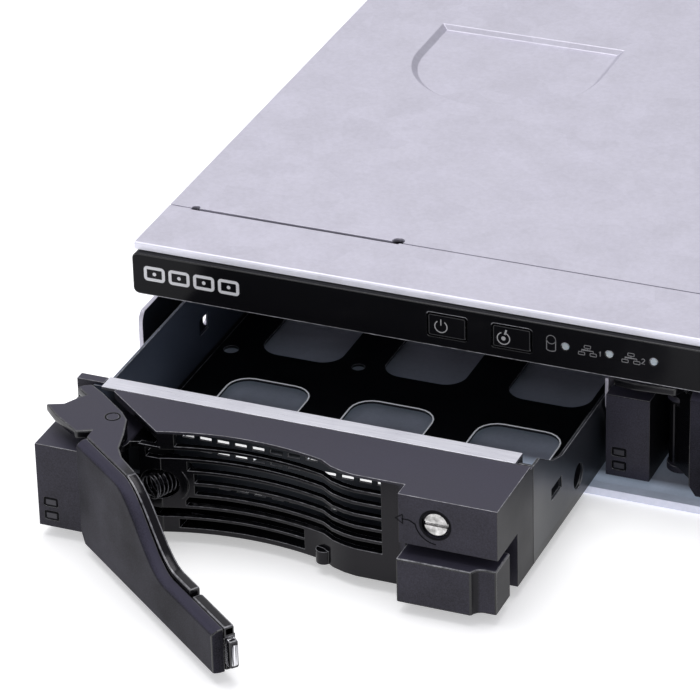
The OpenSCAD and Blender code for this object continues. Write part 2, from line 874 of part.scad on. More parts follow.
module lock_screw() color("silver")
    difference() {
        union() {
            rod_y(lock_x, 0.3, lock_z, lock_head_r, 1.05);
            rod_y(lock_x, 1, lock_z, lock_shank_r, 8.6);
            translate([lock_x - 5, 8.3, lock_z - 1.5])
                cube([6.5, 1.3, 3]);
        }
        translate([lock_x - 3, 0, lock_z - 0.45])
            cube([6, 0.9, 0.9]);
    }

module in_bay(i)
    translate([tray_x(i), tray_y(i), 0])
        children();

module on_lever(i)
    in_bay(i)
        translate([pivot[0], pivot[1], 0])
            rotate(-lever_open(i))
                children();

chassis_base();
bay_cage();
front_top_panel();
lid();
front_bezel();
power_button();
locate_button();
status_lenses();
backplane();
fan_frames();
fan_rotor(1);  // fan_rotor_1
fan_rotor(2);  // fan_rotor_2
fan_rotor(3);  // fan_rotor_3
mainboard();
heat_sink();
memory_module();
rear_ports();
psu_case();
mains_inlet();
cover_screws();
for (i = [1:4]) {
    in_bay(i) carrier();
    in_bay(i) tray_front();
    in_bay(i) trim_strip();
    in_bay(i) light_pipe();
    in_bay(i) pivot_pin();
    in_bay(i) lever_spring();
    on_lever(i) hook_arm();
    on_lever(i) lever_cover();
    in_bay(i) release_button();
    in_bay(i) lock_screw();
}
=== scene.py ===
"""A four-bay rack storage box, one unit high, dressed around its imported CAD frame.

Everything is in metres in the CAD frame: X to the right seen from the front, Y to the
rear, Z up, and the origin at the centre of the underside. MM turns millimetres to metres.
"""
import math
import bpy
from mathutils import Matrix, Vector


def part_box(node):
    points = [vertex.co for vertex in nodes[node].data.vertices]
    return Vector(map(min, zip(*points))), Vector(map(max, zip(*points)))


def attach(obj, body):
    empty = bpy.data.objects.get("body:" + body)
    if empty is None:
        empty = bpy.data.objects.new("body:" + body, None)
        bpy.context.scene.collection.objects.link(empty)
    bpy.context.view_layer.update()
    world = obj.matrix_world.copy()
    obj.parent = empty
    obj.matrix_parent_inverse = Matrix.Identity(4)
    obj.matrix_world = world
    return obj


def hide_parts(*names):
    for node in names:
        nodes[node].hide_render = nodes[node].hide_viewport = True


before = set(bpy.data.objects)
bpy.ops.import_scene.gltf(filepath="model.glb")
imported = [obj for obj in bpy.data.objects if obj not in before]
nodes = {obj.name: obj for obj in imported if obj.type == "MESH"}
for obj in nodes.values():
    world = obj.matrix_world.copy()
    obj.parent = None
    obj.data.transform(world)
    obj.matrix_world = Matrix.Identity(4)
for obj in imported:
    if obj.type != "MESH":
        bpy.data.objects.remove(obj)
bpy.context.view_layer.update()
MM = 0.001

# ---- Places worked out from the frame ----

bezel_low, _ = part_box("front_bezel")
BEZEL_LEFT, BEZEL_FACE = bezel_low.x, bezel_low.y
TRAYS = (1, 2, 3, 4)
LEVER_OPEN = {1: math.radians(38.4), 2: 0.0, 3: 0.0, 4: 0.0}
PIVOT_IN_TRAY = Vector((14.8, 9.1, 0)) * MM


def tray_origin(i):
    """The left end of a tray front's face, at the casing's underside."""
    low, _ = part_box(f"tray_{i}_front")
    return Vector((low.x, low.y, 0))


def lever_place(i):
    """From a lever's own axes (along it, across it, up) to the frame."""
    turn = Matrix.Rotation(-LEVER_OPEN[i], 4, "Z")
    return Matrix.Translation(tray_origin(i) + PIVOT_IN_TRAY) @ turn


# ---- Finishes ----

class Finish:
    """A material on one Principled shader, with helpers that add texture nodes to it."""

    def __init__(self, name, **constants):
        self.material = bpy.data.materials.new(name)
        self.material.use_nodes = True
        self.tree = self.material.node_tree
        self.shader = self.tree.nodes["Principled BSDF"]
        for socket, value in constants.items():
            self.shader.inputs[socket.replace("_", " ")].default_value = value
        where = self.tree.nodes.new("ShaderNodeTexCoord")
        self.place, self.share = where.outputs["Object"], where.outputs["Generated"]
        self.normal = where.outputs["Normal"]

    def link(self, a, b):
        self.tree.links.new(a, b)

    def stretched(self, x, y, z):
        """The piece's own coordinates, scaled along each axis."""
        node = self.tree.nodes.new("ShaderNodeMapping")
        node.inputs["Scale"].default_value = (x, y, z)
        self.link(self.place, node.inputs["Vector"])
        return node.outputs["Vector"]

    def noise(self, size, detail=2.0, place=None, rough=0.5):
        """Noise whose blotches are about size metres across."""
        node = self.tree.nodes.new("ShaderNodeTexNoise")
        node.inputs["Scale"].default_value = 1 / size
        node.inputs["Detail"].default_value = detail
        node.inputs["Roughness"].default_value = rough
        self.link(place or self.place, node.inputs["Vector"])
        return node.outputs["Fac"]

    def cells(self, size, kind="F1"):
        """Cells about size metres across."""
        node = self.tree.nodes.new("ShaderNodeTexVoronoi")
        node.feature = kind
        node.inputs["Scale"].default_value = 1 / size
        self.link(self.place, node.inputs["Vector"])
        return node

    def feed(self, socket, value):
        """Sets a socket to a number, or links another socket to it."""
        if isinstance(value, (int, float)):
            socket.default_value = value
        else:
            self.link(value, socket)

    def math(self, kind, a, b):
        node = self.tree.nodes.new("ShaderNodeMath")
        node.operation = kind
        self.feed(node.inputs[0], a)
        self.feed(node.inputs[1], b)
        return node.outputs[0]

    def plus(self, a, b):
        return self.math("ADD", a, b)

    def times(self, a, b):
        return self.math("MULTIPLY", a, b)

    def span(self, value, low, high, start=0.3, end=0.7):
        """From low to high as value goes from start to end, and no further."""
        node = self.tree.nodes.new("ShaderNodeMapRange")
        sockets = ("From Min", "From Max", "To Min", "To Max")
        for socket, number in zip(sockets, (start, end, low, high)):
            node.inputs[socket].default_value = number
        self.link(value, node.inputs["Value"])
        return node.outputs["Result"]

    def along(self, axis):
        """The share, from 0 to 1, of the piece's own extent along an axis."""
        node = self.tree.nodes.new("ShaderNodeSeparateXYZ")
        self.link(self.share, node.inputs[0])
        return node.outputs[axis]

    def within(self, axis, low, high, soft=0.01):
        """1 between two shares of the piece's own extent along an axis, else 0."""
        value = self.along(axis)
        rise = self.span(value, 0, 1, low - soft, low + soft)
        return self.times(rise, self.span(value, 1, 0, high - soft, high + soft))

    def facing(self, axis, start, end):
        """From 0 to 1 as the piece's own normal along an axis goes from start to end."""
        parts = self.tree.nodes.new("ShaderNodeSeparateXYZ")
        self.link(self.normal, parts.inputs[0])
        return self.span(parts.outputs[axis], 0, 1, start, end)

    def blend(self, share, a, b):
        """From number or socket a to number or socket b as share goes from 0 to 1."""
        node = self.tree.nodes.new("ShaderNodeMix")
        self.link(share, node.inputs["Factor"])
        self.feed(node.inputs["A"], a)
        self.feed(node.inputs["B"], b)
        return node.outputs["Result"]

    def colours(self, value, *stops):
        """A ramp through (position, colour) stops, set as the base colour."""
        node = self.tree.nodes.new("ShaderNodeValToRGB")
        ramp = node.color_ramp
        for k, (position, colour) in enumerate(stops):
            element = ramp.elements[k] if k < 2 else ramp.elements.new(position)
            element.position = position
            element.color = (*colour, 1)
        self.link(value, node.inputs["Fac"])
        self.link(node.outputs["Color"], self.shader.inputs["Base Color"])

    def roughness(self, value, low, high, start=0.3, end=0.7):
        self.link(self.span(value, low, high, start, end), self.shader.inputs["Roughness"])

    def bump(self, height, strength, depth):
        node = self.tree.nodes.new("ShaderNodeBump")
        node.inputs["Strength"].default_value = strength
        node.inputs["Distance"].default_value = depth
        self.link(height, node.inputs["Height"])
        self.link(node.outputs["Normal"], self.shader.inputs["Normal"])


def galvanised(name="galvanised_steel", painted_light=None, tint=(0.64, 0.78, 1.0), painted_shade=None):
    """Galvanised sheet.

    Its second argument gives where painted light, of colour tint, glows from the sheet, and its
    last where painted shade darkens it.
    """
    f = Finish(name, Metallic=0.72)
    spangle = f.cells(7 * MM).outputs["Color"]
    blotch = f.noise(11 * MM, 4)
    grain = f.noise(1.1 * MM, 3, rough=0.6)
    tone = f.plus(f.times(blotch, 0.45), f.times(grain, 0.55))
    tone = f.plus(f.times(tone, 0.86), f.times(spangle, 0.14))
    # Painted shade: it pushes the tone towards the ramp's last, darkest stop
    if painted_shade:
        tone = f.plus(tone, painted_shade(f))
    dark, light, painted_shade_colour = (0.56, 0.545, 0.62), (0.65, 0.635, 0.72), (0.045, 0.050, 0.065)
    f.colours(tone, (0.34, dark), (0.66, light), (0.85, light), (1.0, painted_shade_colour))
    f.roughness(blotch, 0.42, 0.58)
    f.bump(grain, 0.22, 0.08 * MM)
    # Painted light: the sheet glows here though there is no lamp
    if painted_light:
        painted_glow = f.times(painted_light(f), f.span(blotch, 0.9, 1.1))
        f.link(painted_glow, f.shader.inputs["Emission Strength"])
        f.shader.inputs["Emission Color"].default_value = (*tint, 1)
    return f.material


def gloss_black():
    f = Finish("gloss_black", Specular_IOR_Level=0.11)
    haze = f.noise(45 * MM, 3)
    f.colours(haze, (0.3, (0.0050, 0.0050, 0.0060)), (0.7, (0.0075, 0.0075, 0.0090)))
    f.roughness(f.noise(6 * MM, 4), 0.10, 0.17)
    f.bump(f.noise(2.5 * MM, 2), 0.02, 0.02 * MM)
    return f.material


def charcoal(name="charcoal_plastic", gloss_and_shade=None, depth=0.24, shine=0.25, side=1.0):
    """Fine-grained charcoal plastic, glossy and near black where a given share is 1: partly a
    glossier finish, partly painted shade.

    depth is how much painted shade darkens the upright faces below the level ones, and side how
    many times that the ones turned to the right take more painted shade. shine is the specular
    level.
    """
    f = Finish(name, Specular_IOR_Level=shine, Specular_Tint=(0.96, 0.93, 1.0, 1))
    spark = f.noise(0.28 * MM, 2, rough=0.6)
    cloud = f.noise(16 * MM, 3)
    upright = f.math("SUBTRACT", 1, f.facing("Z", 0.3, 0.9))
    painted_face_shade = f.plus(upright, f.times(f.facing("X", 0.4, 0.9), side))
    # Painted shade: upright faces are darker, and those turned to the right darker still
    tone = f.plus(f.times(f.plus(spark, cloud), 0.25), f.times(painted_face_shade, depth))
    rough = f.span(cloud, 0.40, 0.50)
    grain = spark
    # Where the share is 1: glossy near black, partly finish and partly painted shade
    if gloss_and_shade:
        share = gloss_and_shade(f)
        tone = f.blend(share, tone, 0.8)
        rough = f.blend(share, rough, f.span(spark, 0.10, 0.20))
        grain = f.blend(share, spark, f.times(cloud, 0.5))
    f.colours(tone, (0.18, (0.039, 0.037, 0.054)), (0.32, (0.050, 0.0475, 0.070)),
              (0.60, (0.0035, 0.0035, 0.0045)), (0.90, (0.003, 0.003, 0.004)))
    f.link(rough, f.shader.inputs["Roughness"])
    f.bump(grain, 0.16, 0.03 * MM)
    return f.material


def painted_edge_glint(name, start=0.2, end=0.8, glint_gain=None):
    """Black rounded edges, with a painted highlight as their normal's height goes from start to
    end.

    The last argument is how many times brighter the painted highlight is in a place.
    """
    f = Finish(name, Specular_IOR_Level=0.5)
    wear = f.noise(1.4 * MM, 3, rough=0.6)
    wear_and_glint = f.times(f.facing("Z", start, end), f.span(wear, 0.15, 0.65))
    if glint_gain:
        wear_and_glint = f.times(wear_and_glint, glint_gain(f))
    # The bright end of the ramp is the painted highlight
    f.colours(wear_and_glint, (0.0, (0.004, 0.004, 0.005)), (1.0, (0.75, 0.75, 0.80)))
    f.roughness(wear, 0.12, 0.3)
    f.bump(wear, 0.1, 0.02 * MM)
    return f.material


def painted_floor_light(f):
    """Painted light glowing from the casing's floor under the trays, less the further in, and most
    on its front hem.
    """
    fading = f.span(f.along("Y"), 0.055, 0.006, 0.03, 0.09)
    inside = f.times(fading, f.within("Y", 0.016, 0.5))
    hem = f.times(f.within("Y", -1, 0.016, 0.003), 0.22)
    return f.times(f.plus(inside, hem), f.within("Z", -1, 0.05, 0.004))


def left_wall_painted_shade(f):
    """Painted shade on the inner face of the casing's left wall, at its front."""
    corner = f.times(f.within("X", -1, 0.005, 0.001), f.within("Y", -1, 0.15))
    return f.times(f.times(corner, f.facing("X", 0.5, 0.9)), 0.8)


def lip_painted_highlight(f):
    """A painted highlight glowing on the top panel's front lip."""
    return f.times(f.within("Y", -1, 0.022, 0.006), 0.3)


def recess_gloss_and_shade(f):
    """The grille and what lies behind it, in a tray front: glossy there, and near black with
    painted shade.
    """
    return f.times(f.within("X", 0.17, 0.775), f.within("Z", -1, 0.975))


def arm_gloss_and_shade(f):
    """The arm, less its hook plate: a glossy rim along the grip, and painted shade on upright
    sides.
    """
    grip = f.within("X", 0.42, 2, 0.05)
    # Painted shade on the upright sides
    side = f.times(f.math("SUBTRACT", 1, f.facing("Z", 0.2, 0.5)), 0.8)
    return f.math("MAXIMUM", grip, side)


def black_plastic():
    f = Finish("black_plastic", Specular_IOR_Level=0.4)
    spark = f.noise(0.35 * MM, 2)
    f.colours(f.noise(10 * MM, 3), (0.3, (0.008, 0.008, 0.009)), (0.7, (0.014, 0.014, 0.015)))
    f.roughness(spark, 0.36, 0.5)
    f.bump(spark, 0.14, 0.03 * MM)
    return f.material


def dark_steel():
    """Black-blue coated sheet: a near black pan between slate blue walls."""
    f = Finish("dark_steel", Metallic=0.25, Specular_IOR_Level=0.5)
    coat = f.noise(0.5 * MM, 3, rough=0.6)
    cloud = f.noise(25 * MM, 3)
    above_pan = f.within("Z", 0.08, 2)
    left_wall_light, right_wall_shade = f.within("X", -1, 0.04), f.within("X", 0.95, 2)
    # Painted light makes the left wall lighter, and painted shade makes the right wall darker
    tone = f.plus(f.times(cloud, 0.2), f.times(left_wall_light, 0.45))
    tone = f.plus(f.times(tone, above_pan), f.times(above_pan, 0.2))
    tone = f.math("SUBTRACT", tone, f.times(right_wall_shade, 0.22))
    f.colours(tone, (0.0, (0.006, 0.007, 0.009)), (0.2, (0.024, 0.029, 0.038)),
              (0.4, (0.034, 0.041, 0.054)), (0.8, (0.085, 0.105, 0.150)))
    f.roughness(cloud, 0.30, 0.42)
    f.bump(coat, 0.10, 0.03 * MM)
    return f.material


def brushed():
    f = Finish("brushed_trim", Metallic=0.9)
    lines = f.noise(0.22 * MM, 3, f.stretched(0.02, 1, 1), 0.6)
    cloud = f.noise(9 * MM, 3)
    tone = f.plus(f.times(lines, 0.7), f.times(cloud, 0.3))
    f.colours(tone, (0.34, (0.62, 0.62, 0.68)), (0.66, (0.82, 0.82, 0.87)))
    f.roughness(lines, 0.26, 0.40)
    f.bump(lines, 0.10, 0.03 * MM)
    return f.material


def nickel():
    f = Finish("nickel", Metallic=1.0)
    turned = f.noise(0.25 * MM, 3)
    f.colours(f.noise(1.6 * MM, 3), (0.34, (0.26, 0.255, 0.25)), (0.66, (0.72, 0.71, 0.70)))
    f.roughness(turned, 0.12, 0.28)
    f.bump(turned, 0.12, 0.03 * MM)
    return f.material


def bare_aluminium():
    f = Finish("bare_aluminium", Metallic=1.0)
    lines = f.noise(0.3 * MM, 3, f.stretched(1, 0.03, 1))
    f.colours(lines, (0.3, (0.60, 0.61, 0.62)), (0.7, (0.76, 0.77, 0.78)))
    f.roughness(lines, 0.25, 0.4)
    f.bump(lines, 0.12, 0.04 * MM)
    return f.material


def spring_steel():
    f = Finish("spring_steel", Metallic=1.0)
    oil = f.noise(0.6 * MM, 3)
    f.colours(oil, (0.3, (0.035, 0.035, 0.040)), (0.7, (0.12, 0.12, 0.13)))
    f.roughness(oil, 0.2, 0.36)
    f.bump(f.noise(0.15 * MM, 2), 0.1, 0.02 * MM)
    return f.material


def smoked():
    f = Finish("smoked_clear", Specular_IOR_Level=0.45)
    cloud = f.noise(3 * MM, 3)
    f.colours(cloud, (0.3, (0.014, 0.0135, 0.020)), (0.7, (0.020, 0.019, 0.028)))
    f.roughness(cloud, 0.30, 0.38)
    f.bump(f.noise(0.4 * MM, 2), 0.06, 0.02 * MM)
    return f.material


def lamp_lens():
    f = Finish("lamp_lens", Subsurface_Weight=0.3)
    frost = f.noise(0.3 * MM, 3)
    f.colours(frost, (0.3, (0.50, 0.50, 0.50)), (0.7, (0.60, 0.60, 0.60)))
    f.roughness(frost, 0.35, 0.5)
    f.bump(frost, 0.1, 0.02 * MM)
    return f.material


def circuit_board():
    f = Finish("circuit_board", Specular_IOR_Level=0.45)
    traces = f.cells(3.2 * MM, "DISTANCE_TO_EDGE").outputs["Distance"]
    weave = f.noise(0.6 * MM, 2)
    f.colours(traces, (0.0, (0.020, 0.115, 0.050)), (0.09, (0.004, 0.040, 0.016)))
    f.roughness(weave, 0.25, 0.4)
    f.bump(traces, 0.2, 0.03 * MM)
    return f.material


def print_ink(name, dark, light, shine=0.5, painted_glow=0.0):
    f = Finish(name, Specular_IOR_Level=shine, Emission_Color=(*light, 1), Emission_Strength=painted_glow)
    speck = f.noise(0.2 * MM, 3)
    f.colours(speck, (0.3, dark), (0.7, light))
    f.roughness(speck, 0.35, 0.55)
    f.bump(speck, 0.08, 0.01 * MM)
    return f.material


def catch_finish():
    """A clear catch, with painted highlights and reflections as bright and dark streaks up it."""
    f = Finish("catch", Metallic=0.8)
    painted_streaks = f.noise(0.5 * MM, 2, f.stretched(1, 1, 0.06))
    f.colours(painted_streaks, (0.40, (0.02, 0.02, 0.025)), (0.58, (0.85, 0.85, 0.88)))
    f.roughness(painted_streaks, 0.08, 0.2)
    f.bump(painted_streaks, 0.2, 0.1 * MM)
    return f.material


FINISHES = {
    "galvanised_steel": galvanised(),
    "casing_steel": galvanised("casing_steel", painted_floor_light, painted_shade=left_wall_painted_shade),
    "lip_steel": galvanised("lip_steel", lip_painted_highlight, (0.9, 0.92, 1.0)),
    "gloss_black": gloss_black(),
    "lamp_lens": lamp_lens(),
    "circuit_board": circuit_board(),
    "black_plastic": black_plastic(),
    "bare_aluminium": bare_aluminium(),
    "nickel": nickel(),
    "dark_steel": dark_steel(),
    "charcoal_plastic": charcoal(),
    "charcoal_front": charcoal("charcoal_front", recess_gloss_and_shade),
    "charcoal_arm": charcoal("charcoal_arm", arm_gloss_and_shade),
    # The lever cover's painted shade: deeper on upright faces, little more on right-turned ones
    "charcoal_cover": charcoal("charcoal_cover", depth=0.27, shine=0.07, side=0.15),
    "bright_trim": brushed(),
    "smoked_clear": smoked(),
    "spring_steel": spring_steel(),
}
CATCH = catch_finish()

WHITE_INK = print_ink("white_ink", (0.66, 0.66, 0.68), (0.80, 0.80, 0.82))
ICON_INK = print_ink("icon_ink", (0.42, 0.42, 0.43), (0.52, 0.52, 0.53))
STATUS_INK = print_ink("status_ink", (0.16, 0.16, 0.17), (0.24, 0.24, 0.25))
# A faint painted highlight round the buttons
BUTTON_RIM_HIGHLIGHT = print_ink("painted_button_rim_highlight", (0.035, 0.035, 0.038), (0.055, 0.055, 0.058))
DARK_LINE = print_ink("dark_line", (0.003, 0.003, 0.004), (0.006, 0.006, 0.008), 0.05)
# A painted highlight that glows a little, for the windows' rims
WINDOW_GLINT = print_ink("painted_window_glint", (0.66, 0.70, 0.78), (0.92, 0.94, 0.98), painted_glow=0.22)

# The finish of a node's rounded edges, where it isn't the node's own: black with painted
# highlights
PAINTED_GLINT_EDGE = painted_edge_glint("painted_glint_edge")
EDGE_FINISHES = {
    "charcoal_front": PAINTED_GLINT_EDGE,
    "charcoal_plastic": PAINTED_GLINT_EDGE,
    "dark_steel": PAINTED_GLINT_EDGE,
    # Painted highlights: the arm's along its grip, the cover's higher up, the bezel's on downward
    # edges
    "charcoal_arm": painted_edge_glint(
        "arm_edge", glint_gain=lambda f: f.span(f.along("X"), 0.16, 0.6, 0.4, 0.5)),
    "charcoal_cover": painted_edge_glint(
        "cover_edge", glint_gain=lambda f: f.span(f.along("Z"), 0.1, 0.2)),
    "gloss_black": painted_edge_glint(
        "lower_edge", 0.0, -0.3, lambda f: f.span(f.along("Y"), 1.6, 1.5)),
}

# ---- CAD nodes: a finish, and edges broken as the real ones are ----

# Which finish and how wide an edge, in millimetres, each node has
CHASSIS = {
    "chassis_base": ("casing_steel", 0.15), "bay_cage": ("galvanised_steel", 0.12),
    "front_top_panel": ("lip_steel", 0.15), "lid": ("galvanised_steel", 0.2),
    "front_bezel": ("gloss_black", 0.32), "power_button": ("gloss_black", 0.22),
    "locate_button": ("gloss_black", 0.22), "status_lenses": ("lamp_lens", 0.1),
    "backplane": ("circuit_board", 0), "fan_frames": ("black_plastic", 0.3),
    "fan_rotor_1": ("black_plastic", 0), "fan_rotor_2": ("black_plastic", 0),
    "fan_rotor_3": ("black_plastic", 0), "mainboard": ("circuit_board", 0),
    "heat_sink": ("bare_aluminium", 0), "memory_module": ("circuit_board", 0),
    "rear_ports": ("nickel", 0.15), "psu_case": ("galvanised_steel", 0.2),
    "mains_inlet": ("black_plastic", 0.4), "cover_screws": ("nickel", 0.15),
}
TRAY = {
    "carrier": ("dark_steel", 0.12), "front": ("charcoal_front", 0.13),
    "trim_strip": ("bright_trim", 0.12), "light_pipe": ("smoked_clear", 0.12),
    "pivot_pin": ("charcoal_plastic", 0.1), "lever_spring": ("spring_steel", 0),
    "hook_arm": ("charcoal_arm", 0.45), "lever_cover": ("charcoal_cover", 0.25),
    "release_button": ("charcoal_plastic", 0.4), "lock_screw": ("nickel", 0.12),
}


# Edge angles in degrees: shading is smooth below the first, and edges are rounded above the second
SMOOTH_BELOW, ROUND_ABOVE = 34, 32
# Faces that differ by less than this many degrees become one, and points nearer than this, too
FLAT_WITHIN, WELD_WITHIN = 0.6, 0.002 * MM


def even_shading():
    """A node group that shades a mesh flat, and smooth only across shallow edges."""
    group = bpy.data.node_groups.new("even_shading", "GeometryNodeTree")
    group.interface.new_socket("Geometry", in_out="INPUT", socket_type="NodeSocketGeometry")
    group.interface.new_socket("Geometry", in_out="OUTPUT", socket_type="NodeSocketGeometry")
    start, end = group.nodes.new("NodeGroupInput"), group.nodes.new("NodeGroupOutput")
    angle = group.nodes.new("GeometryNodeInputMeshEdgeAngle")
    sharp = group.nodes.new("FunctionNodeCompare")
    sharp.inputs[1].default_value = math.radians(SMOOTH_BELOW)
    normal = group.nodes.new("GeometryNodeSetMeshNormal")
    normal.inputs["Remove Custom"].default_value = True
    group.links.new(start.outputs[0], normal.inputs["Mesh"])
    group.links.new(angle.outputs["Unsigned Angle"], sharp.inputs[0])
    group.links.new(sharp.outputs["Result"], normal.inputs["Edge Sharpness"])
    group.links.new(normal.outputs["Mesh"], end.inputs[0])
    return group


EVEN_SHADING = even_shading()


def shade_evenly(piece):
    """Adds the even shading, with each face counted by its area."""
    piece.modifiers.new("shade", "NODES").node_group = EVEN_SHADING
    weighted = piece.modifiers.new("weighted", "WEIGHTED_NORMAL")
    weighted.keep_sharp = True
    weighted.weight = 100


def dress(name, finish, edge):
    """Gives a CAD node its finish, and rounds its edges by edge millimetres."""
    node = nodes[name]
    if not node.material_slots:
        node.data.materials.append(FINISHES[finish])
    for slot in node.material_slots:
        slot.material = FINISHES[finish]
    weld = node.modifiers.new("weld", "WELD")
    weld.merge_threshold = WELD_WITHIN
    if edge:
        flat = node.modifiers.new("flat", "DECIMATE")
        flat.decimate_type = "DISSOLVE"
        flat.angle_limit = math.radians(FLAT_WITHIN)
        bevel = node.modifiers.new("edge", "BEVEL")
        bevel.width = edge * MM
        bevel.segments = 2
        bevel.limit_method = "ANGLE"
        bevel.angle_limit = math.radians(ROUND_ABOVE)
        bevel.use_clamp_overlap = False
        # The rounded edges of these finishes take a black finish with painted highlights
        if finish in EDGE_FINISHES:
            node.data.materials.append(EDGE_FINISHES[finish])
            bevel.material = len(node.material_slots) - 1
    shade_evenly(node)


for name, (finish, edge) in CHASSIS.items():
    dress(name, finish, edge)
for i in TRAYS:
    for part, (finish, edge) in TRAY.items():
        dress(f"tray_{i}_{part}", finish, edge)

# ---- Flat marks: lines and shapes a hair thick, drawn on a plane ----

def in_scene(name, data):
    """A new object in the scene, from a mesh, curve, light or camera."""
    made = bpy.data.objects.new(name, data)
    bpy.context.scene.collection.objects.link(made)
    return made


class Marks:
    """Closed solids a hair thick on a plane, gathered into one mesh.

    place takes (across, up, out of the surface), in millimetres, to the frame in metres.
    """
    RAISED = 0.04
    SIDES = 32

    def __init__(self, place):
        self.place, self.points, self.faces = place, [], []

    def solid(self, outline, inner=()):
        """A flat shape between an outline and, where given, an inner outline of as many points."""
        n, first = len(outline), len(self.points)
        rings = [outline, inner] if inner else [outline]
        for ring in rings:
            for depth in (self.RAISED, -self.RAISED):
                self.points += [self.place(Vector((*p, depth))) for p in ring]
        front, back = range(first, first + n), range(first + n, first + 2 * n)
        if not inner:
            self.faces += [list(front), list(reversed(back))]
        for k in range(n):
            m = (k + 1) % n
            self.faces.append([front[m], front[k], back[k], back[m]])
            if inner:
                # the inner ring's points follow those of the outer ring
                inner_front = [front[k] + 2 * n, front[m] + 2 * n]
                inner_back = [back[k] + 2 * n, back[m] + 2 * n]
                self.faces.append([front[k], front[m], inner_front[1], inner_front[0]])
                self.faces.append([back[m], back[k], inner_back[0], inner_back[1]])
                self.faces.append([*inner_front, *inner_back[::-1]])

    def line(self, points, width):
        """A line of even width through points, with square ends."""
        points = [Vector(p) for p in points]
        left, right = [], []
        for k, p in enumerate(points):
            before, after = points[max(k - 1, 0)], points[min(k + 1, len(points) - 1)]
            along = (after - before).normalized()
            first = (after - p if k == 0 else p - before).normalized()
            aside = Vector((-along.y, along.x))
            reach = width / 2 / max(0.5, aside.dot(Vector((-first.y, first.x))))
            left.append(p + aside * reach)
            right.append(p - aside * reach)
        self.solid([tuple(p) for p in right + left[::-1]])

    def frame(self, centre, size, radius, width):
        """A line of even width inside a rounded rectangle's outline."""
        inner_size = (size[0] - 2 * width, size[1] - 2 * width)
        self.solid(rounded(centre, size, radius),
                   rounded(centre, inner_size, max(radius - width, 0.02)))

    def disc(self, centre, radius, hole=0.0):
        """A round disc, or a ring where it has a hole."""
        outer, inner = (arc(centre, r, 0, 360, self.SIDES)[:-1] for r in (radius, hole))
        self.solid(outer, inner if hole else ())

    def piece(self, name, material, body, slot):
        """Puts the marks in the scene as one piece on a body."""
        mesh = bpy.data.meshes.new(name)
        mesh.from_pydata(self.points, [], self.faces)
        mesh.materials.append(material)
        piece = in_scene(name, mesh)
        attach(piece, body)


def arc(centre, radius, start, end, steps=20):
    """Points along an arc, from and to angles in degrees."""
    angles = [math.radians(start + (end - start) * k / steps) for k in range(steps + 1)]
    return [(centre[0] + radius * math.cos(a), centre[1] + radius * math.sin(a)) for a in angles]


def rounded(centre, size, radius):
    """The outline of a rounded rectangle."""
    w, h = size[0] / 2 - radius, size[1] / 2 - radius
    points = []
    for x, y, start in ((w, h, 0), (-w, h, 90), (-w, -h, 180), (w, -h, 270)):
        points += arc((centre[0] + x, centre[1] + y), radius, start, start + 90, 5)
    return points


def on_bezel(p):
    """From (from the bezel's left end, up from the underside, out) to the frame."""
    return Vector((BEZEL_LEFT + p.x * MM, BEZEL_FACE - p.z * MM, p.y * MM))


# Places on the control strip, in millimetres from the bezel's left end and from the underside
POWER_X, LOCATE_X, BUTTON_Z = 76.3, 91.5, 36.6
RIM_SIZE, RIM_RADIUS, RIM_LINE = (8.6, 5.1), 0.45, 0.16
EMBLEM_X, EMBLEM_PITCH, EMBLEM_Z, EMBLEM_SIZE = 5.5, 6.1, 36.9, (5.2, 3.7)
POWER_ICON, LOCATE_ICON, ICON_RADIUS = (74.9, 36.4), (89.6, 36.2), 1.45
DRIVE_ICON_X, NETWORK_ICONS_X, STATUS_Z = 100.7, (109.1, 119.1), 36.8
STROKE, DIGIT_STROKE = 0.22, 0.17

emblem = Marks(on_bezel)
for k in range(4):
    centre = (EMBLEM_X + EMBLEM_PITCH * k, EMBLEM_Z)
    emblem.frame(centre, EMBLEM_SIZE, 0.9, 0.75)
    emblem.disc(centre, 0.45)
emblem.piece("bay_emblem", WHITE_INK, "chassis", "gloss_black")

# A painted highlight outlining each button
for name, x in (("power", POWER_X), ("locate", LOCATE_X)):
    rim = Marks(on_bezel)
    rim.frame((x, BUTTON_Z), RIM_SIZE, RIM_RADIUS, RIM_LINE)
    rim.piece(f"{name}_button_rim", BUTTON_RIM_HIGHLIGHT, f"{name}_button", "gloss_black")

# An open ring with an upright bar in its gap
power_mark = Marks(on_bezel)
x, z = POWER_ICON
power_mark.line(arc(POWER_ICON, ICON_RADIUS, 125, 415), STROKE)
power_mark.line([(x, z + 0.3), (x, z + 1.8)], STROKE)
power_mark.piece("power_icon", ICON_INK, "power_button", "gloss_black")

# An open ring round a dot, with a short slanted bar at its top
locate_mark = Marks(on_bezel)
x, z = LOCATE_ICON
locate_mark.line(arc(LOCATE_ICON, ICON_RADIUS, 70, -250), STROKE)
locate_mark.disc(LOCATE_ICON, 0.5)
locate_mark.line([(x + 0.3, z + 1.0), (x + 0.7, z + 2.2)], 0.4)
locate_mark.piece("locate_icon", ICON_INK, "locate_button", "gloss_black")


def drive_icon(marks, x, z):
    """A drive as an upright drum."""
    across, tall, sag = 1.05, 1.2, 0.45
    marks.line(arc((x, z + tall), across, 0, 360, 24), 0.16)
    below = [math.pi + math.pi * k / 12 for k in range(1, 12)]
    foot = [(x + across * math.cos(a), z - tall + sag * math.sin(a)) for a in below]
    left = [(x - across, z + tall), (x - across, z - tall)]
    marks.line(left + foot + [(x + across, z - tall), (x + across, z + tall)], 0.2)


